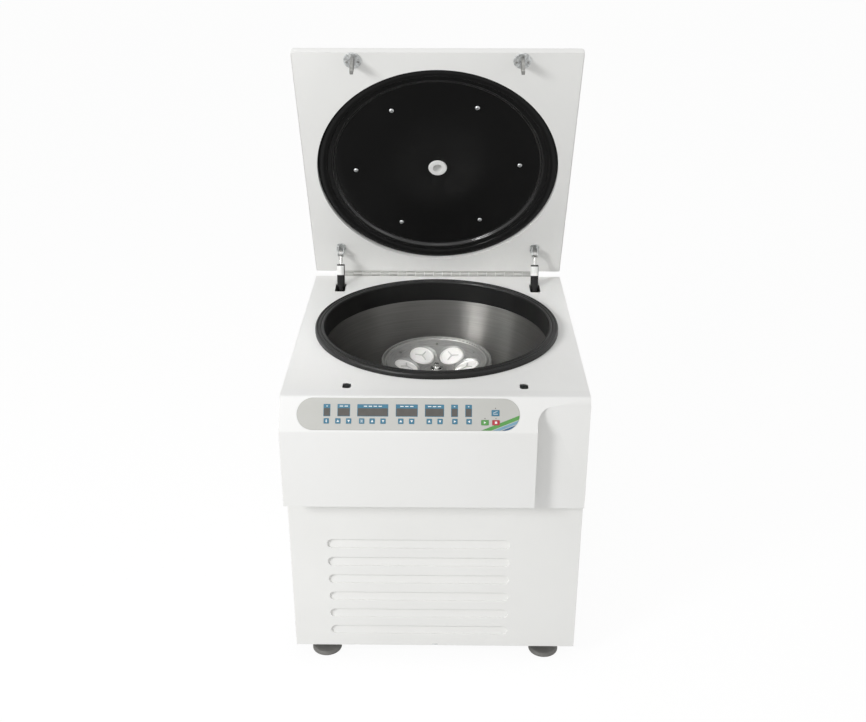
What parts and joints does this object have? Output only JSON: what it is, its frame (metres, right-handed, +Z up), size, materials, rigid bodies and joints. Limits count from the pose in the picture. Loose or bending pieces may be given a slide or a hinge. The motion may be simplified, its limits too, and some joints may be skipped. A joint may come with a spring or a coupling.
{
  "type": "refrigerated centrifuge",
  "caption": "Floor-standing refrigerated centrifuge with hinged lid, latch hooks, gas struts, angle rotor with bottles and sloping key panel.",
  "frame": {"origin": "middle of the outline seen from above, on the floor under the feet, lid open as in the picture", "axes": "+Z up, +Y to the rear where the lid is hinged, +X to the right as the user faces the control panel"},
  "size_m": [0.7, 0.8586, 1.4402],
  "materials": {
    "white_paint": "satin powder coat",
    "white_plastic": "satin moulded",
    "overlay_film": "matte film",
    "blue_key": "satin film",
    "green_key": "satin film",
    "red_key": "satin film",
    "rubber": "moulded",
    "gasket_rubber": "moulded satin",
    "black_plastic": "satin",
    "strut_black": "gloss",
    "stainless": "brushed",
    "bright_steel": "polished",
    "zinc": "zinc plated",
    "anodised": "satin anodised",
    "cast_grey": "painted",
    "condenser_fins": "fins",
    "compressor_black": "painted",
    "foam": "rigid foam",
    "bottle_plastic": "satin moulded"
  },
  "bodies": {
    "cabinet": {"base_tray": "zinc", "foot_front_left": "rubber", "foot_front_right": "rubber", "foot_rear_left": "rubber", "foot_rear_right": "rubber", "front_panel": "white_paint", "side_panel_left": "white_paint", "side_panel_right": "white_paint", "rear_panel": "white_paint", "deck_plate": "white_paint", "front_cover": "white_plastic", "control_overlay": "overlay_film", "chamber_gasket": "gasket_rubber", "chamber_bowl": "stainless", "bowl_insulation": "foam", "motor_shelf": "zinc", "drive_motor": "cast_grey", "condenser": "condenser_fins", "compressor": "compressor_black", "latch_channel": "zinc", "hinge_fixed_leaf": "stainless"},
    "lid": {"lid_shell": "white_paint", "lid_inner_panel": "white_paint", "lid_liner": "black_plastic", "view_port": "white_plastic", "hinge_lid_leaf": "stainless", "hook_left": "zinc", "hook_right": "zinc", "strut_bracket_left": "zinc", "strut_bracket_right": "zinc"},
    "strut_cylinder_left": {"strut_cylinder_left": "strut_black"},
    "strut_rod_left": {"strut_rod_left": "bright_steel"},
    "strut_cylinder_right": {"strut_cylinder_right": "strut_black"},
    "strut_rod_right": {"strut_rod_right": "bright_steel"},
    "rotor": {"rotor": "anodised", "drive_shaft": "bright_steel", "rotor_screw": "bright_steel", "bottle_1": "bottle_plastic", "bottle_2": "bottle_plastic", "bottle_3": "bottle_plastic", "bottle_4": "bottle_plastic", "bottle_5": "bottle_plastic", "bottle_6": "bottle_plastic"},
    "condenser_fan": {"condenser_fan": "black_plastic"},
    "latch_bar": {"latch_bar": "bright_steel"},
    "key_program": {"key_program": "blue_key"},
    "key_speed_up": {"key_speed_up": "blue_key"},
    "key_speed_down": {"key_speed_down": "blue_key"},
    "key_mode": {"key_mode": "blue_key"},
    "key_set_up": {"key_set_up": "blue_key"},
    "key_set_down": {"key_set_down": "blue_key"},
    "key_time_up": {"key_time_up": "blue_key"},
    "key_time_down": {"key_time_down": "blue_key"},
    "key_temperature_up": {"key_temperature_up": "blue_key"},
    "key_temperature_down": {"key_temperature_down": "blue_key"},
    "key_ramp": {"key_ramp": "blue_key"},
    "key_brake": {"key_brake": "blue_key"},
    "key_start": {"key_start": "green_key"},
    "key_stop": {"key_stop": "red_key"},
    "key_lid": {"key_lid": "blue_key"}
  },
  "joints": [
    {"name": "lid_hinge", "type": "hinge", "parent": "cabinet", "child": "lid", "pos_m": [0, 0.38671, 0.76], "axis": [1, 0, 0], "range_deg": [0, 65.6], "stiffness_Nm_per_rad": 15, "springref_deg": -91.67},
    {"name": "rotor_spin", "type": "hinge", "parent": "cabinet", "child": "rotor", "pos_m": [0, 0.01471, 0.586], "axis": [0, 0, 1], "continuous": true},
    {"name": "fan_spin", "type": "hinge", "parent": "cabinet", "child": "condenser_fan", "pos_m": [0, -0.25329, 0.1923], "axis": [0, 1, 0], "continuous": true},
    {"name": "latch_slide", "type": "slide", "parent": "cabinet", "child": "latch_bar", "axis": [1, 0, 0], "range_m": [0, 0.014], "stiffness_N_per_m": 400, "springref_m": -0.01},
    {"name": "strut_pivot_left", "type": "hinge", "parent": "lid", "child": "strut_cylinder_left", "pos_m": [-0.272, 0.32983, 0.84181], "axis": [1, 0, 0], "range_deg": [-63.6, 0]},
    {"name": "strut_slide_left", "type": "slide", "parent": "strut_cylinder_left", "child": "strut_rod_left", "axis": [0, 0.3039, 0.9527], "range_m": [0, 0.1075]},
    {"name": "strut_pivot_right", "type": "hinge", "parent": "lid", "child": "strut_cylinder_right", "pos_m": [0.272, 0.32983, 0.84181], "axis": [1, 0, 0], "range_deg": [-63.6, 0]},
    {"name": "strut_slide_right", "type": "slide", "parent": "strut_cylinder_right", "child": "strut_rod_right", "axis": [0, 0.3039, 0.9527], "range_m": [0, 0.1075]},
    {"name": "key_program_press", "type": "slide", "parent": "cabinet", "child": "key_program", "axis": [0, 0.8087, -0.5882], "range_m": [0, 0.0005], "stiffness_N_per_m": 400, "springref_m": -0.0005},
    {"name": "key_speed_up_press", "type": "slide", "parent": "cabinet", "child": "key_speed_up", "axis": [0, 0.8087, -0.5882], "range_m": [0, 0.0005], "stiffness_N_per_m": 400, "springref_m": -0.0005},
    {"name": "key_speed_down_press", "type": "slide", "parent": "cabinet", "child": "key_speed_down", "axis": [0, 0.8087, -0.5882], "range_m": [0, 0.0005], "stiffness_N_per_m": 400, "springref_m": -0.0005},
    {"name": "key_mode_press", "type": "slide", "parent": "cabinet", "child": "key_mode", "axis": [0, 0.8087, -0.5882], "range_m": [0, 0.0005], "stiffness_N_per_m": 400, "springref_m": -0.0005},
    {"name": "key_set_up_press", "type": "slide", "parent": "cabinet", "child": "key_set_up", "axis": [0, 0.8087, -0.5882], "range_m": [0, 0.0005], "stiffness_N_per_m": 400, "springref_m": -0.0005},
    {"name": "key_set_down_press", "type": "slide", "parent": "cabinet", "child": "key_set_down", "axis": [0, 0.8087, -0.5882], "range_m": [0, 0.0005], "stiffness_N_per_m": 400, "springref_m": -0.0005},
    {"name": "key_time_up_press", "type": "slide", "parent": "cabinet", "child": "key_time_up", "axis": [0, 0.8087, -0.5882], "range_m": [0, 0.0005], "stiffness_N_per_m": 400, "springref_m": -0.0005},
    {"name": "key_time_down_press", "type": "slide", "parent": "cabinet", "child": "key_time_down", "axis": [0, 0.8087, -0.5882], "range_m": [0, 0.0005], "stiffness_N_per_m": 400, "springref_m": -0.0005},
    {"name": "key_temperature_up_press", "type": "slide", "parent": "cabinet", "child": "key_temperature_up", "axis": [0, 0.8087, -0.5882], "range_m": [0, 0.0005], "stiffness_N_per_m": 400, "springref_m": -0.0005},
    {"name": "key_temperature_down_press", "type": "slide", "parent": "cabinet", "child": "key_temperature_down", "axis": [0, 0.8087, -0.5882], "range_m": [0, 0.0005], "stiffness_N_per_m": 400, "springref_m": -0.0005},
    {"name": "key_ramp_press", "type": "slide", "parent": "cabinet", "child": "key_ramp", "axis": [0, 0.8087, -0.5882], "range_m": [0, 0.0005], "stiffness_N_per_m": 400, "springref_m": -0.0005},
    {"name": "key_brake_press", "type": "slide", "parent": "cabinet", "child": "key_brake", "axis": [0, 0.8087, -0.5882], "range_m": [0, 0.0005], "stiffness_N_per_m": 400, "springref_m": -0.0005},
    {"name": "key_start_press", "type": "slide", "parent": "cabinet", "child": "key_start", "axis": [0, 0.8087, -0.5882], "range_m": [0, 0.0005], "stiffness_N_per_m": 400, "springref_m": -0.0005},
    {"name": "key_stop_press", "type": "slide", "parent": "cabinet", "child": "key_stop", "axis": [0, 0.8087, -0.5882], "range_m": [0, 0.0005], "stiffness_N_per_m": 400, "springref_m": -0.0005},
    {"name": "key_lid_press", "type": "slide", "parent": "cabinet", "child": "key_lid", "axis": [0, 0.8087, -0.5882], "range_m": [0, 0.0005], "stiffness_N_per_m": 400, "springref_m": -0.0005}
  ],
  "couplings": [
    {"joint": "strut_pivot_left", "follows": "lid_hinge", "ratio": -0.96847},
    {"joint": "strut_slide_left", "follows": "lid_hinge", "m_per_rad": 0.093829},
    {"joint": "strut_pivot_right", "follows": "lid_hinge", "ratio": -0.96847},
    {"joint": "strut_slide_right", "follows": "lid_hinge", "m_per_rad": 0.093829}
  ]
}
